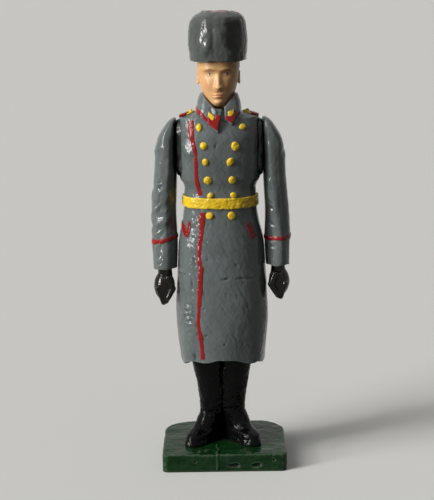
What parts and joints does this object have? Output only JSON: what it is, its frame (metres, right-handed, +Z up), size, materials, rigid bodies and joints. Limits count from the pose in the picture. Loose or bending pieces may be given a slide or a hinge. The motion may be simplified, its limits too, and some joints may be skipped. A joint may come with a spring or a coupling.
{
  "type": "toy soldier figure",
  "caption": "Cast toy soldier in a long belted greatcoat and round fur cap, standing at attention on a flat base, with arms that swing on shoulder studs.",
  "frame": {"origin": "middle of the underside of the base", "axes": "+Z up along the figure's height, the figure faces -Y, and its left arm is on +X"},
  "size_m": [0.0186, 0.0136, 0.0604],
  "materials": {
    "coat_grey": "slate grey enamel brushed on a metal casting, glossy",
    "cap_grey": "dark grey enamel over cast fur texture, glossy",
    "trim_yellow": "yellow enamel brushed on by hand, glossy",
    "piping_red": "red enamel brushed on by hand, glossy",
    "boot_black": "black enamel, glossy",
    "glove_black": "warm black enamel, glossy",
    "base_green": "dark green enamel brushed on the base, glossy",
    "skin": "flesh-coloured enamel, half gloss",
    "hair_brown": "dark brown enamel, half gloss"
  },
  "bodies": {
    "figure": {"base": "base_green", "right_boot": "boot_black", "left_boot": "boot_black", "greatcoat": "coat_grey", "belt": "trim_yellow", "buttons": "trim_yellow", "chest_piping": "piping_red", "skirt_piping": "piping_red", "pocket_piping": "piping_red", "collar": "coat_grey", "collar_piping": "piping_red", "collar_tabs": "piping_red", "collar_tab_bars": "trim_yellow", "right_shoulder_board": "trim_yellow", "left_shoulder_board": "trim_yellow", "board_stripes": "piping_red", "head": "skin", "hair": "hair_brown", "fur_cap": "cap_grey", "cap_top": "piping_red"},
    "right_arm": {"right_sleeve": "coat_grey", "right_cuff_piping": "piping_red", "right_glove": "glove_black"},
    "left_arm": {"left_sleeve": "coat_grey", "left_cuff_piping": "piping_red", "left_glove": "glove_black"}
  },
  "joints": [
    {"name": "right_shoulder", "type": "hinge", "parent": "figure", "child": "right_arm", "pos_m": [-0.00612, -0.0005, 0.0439], "axis": [-1, 0, 0], "continuous": true},
    {"name": "left_shoulder", "type": "hinge", "parent": "figure", "child": "left_arm", "pos_m": [0.00612, -0.0005, 0.0439], "axis": [-1, 0, 0], "continuous": true}
  ]
}
